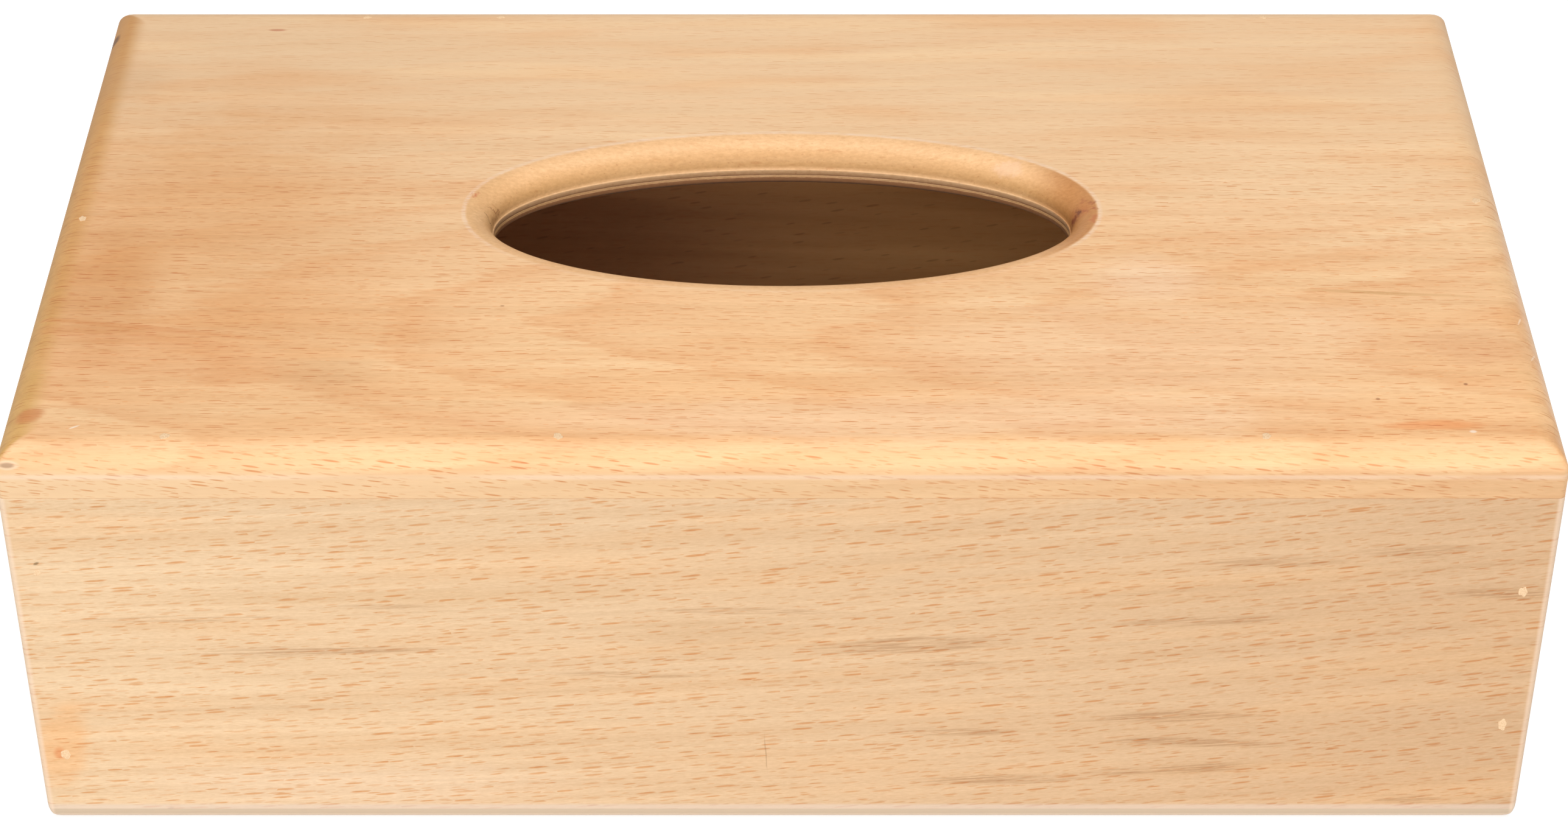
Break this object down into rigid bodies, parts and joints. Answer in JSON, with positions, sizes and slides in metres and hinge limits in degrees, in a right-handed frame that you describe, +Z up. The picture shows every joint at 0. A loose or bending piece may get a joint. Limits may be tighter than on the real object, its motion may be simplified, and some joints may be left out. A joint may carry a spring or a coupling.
{
  "type": "tissue box cover",
  "caption": "Bottomless beech box with routed edges and an oval opening in its top, which drops over a flat carton of tissues.",
  "frame": {"origin": "middle of the cover's footprint, on the surface that it stands on", "axes": "+X along the length to the right, +Y from the front board to the back board, +Z up"},
  "size_m": [0.26, 0.144, 0.082],
  "materials": {
    "beech_top": "satin",
    "beech_front": "satin",
    "beech_back": "satin",
    "beech_end": "satin",
    "brad_steel": "bright drawn wire",
    "wood_filler": "matte"
  },
  "bodies": {
    "root": {"top_board": "beech_top", "front_board": "beech_front", "back_board": "beech_back", "left_end_board": "beech_end", "right_end_board": "beech_end", "front_left_brads": "brad_steel", "front_right_brads": "brad_steel", "back_left_brads": "brad_steel", "back_right_brads": "brad_steel", "top_front_brads": "brad_steel", "top_back_brads": "brad_steel", "top_left_brad": "brad_steel", "top_right_brad": "brad_steel", "front_left_fillers": "wood_filler", "front_right_fillers": "wood_filler", "back_left_fillers": "wood_filler", "back_right_fillers": "wood_filler", "top_front_fillers": "wood_filler", "top_back_fillers": "wood_filler", "top_left_filler": "wood_filler", "top_right_filler": "wood_filler"}
  },
  "joints": []
}
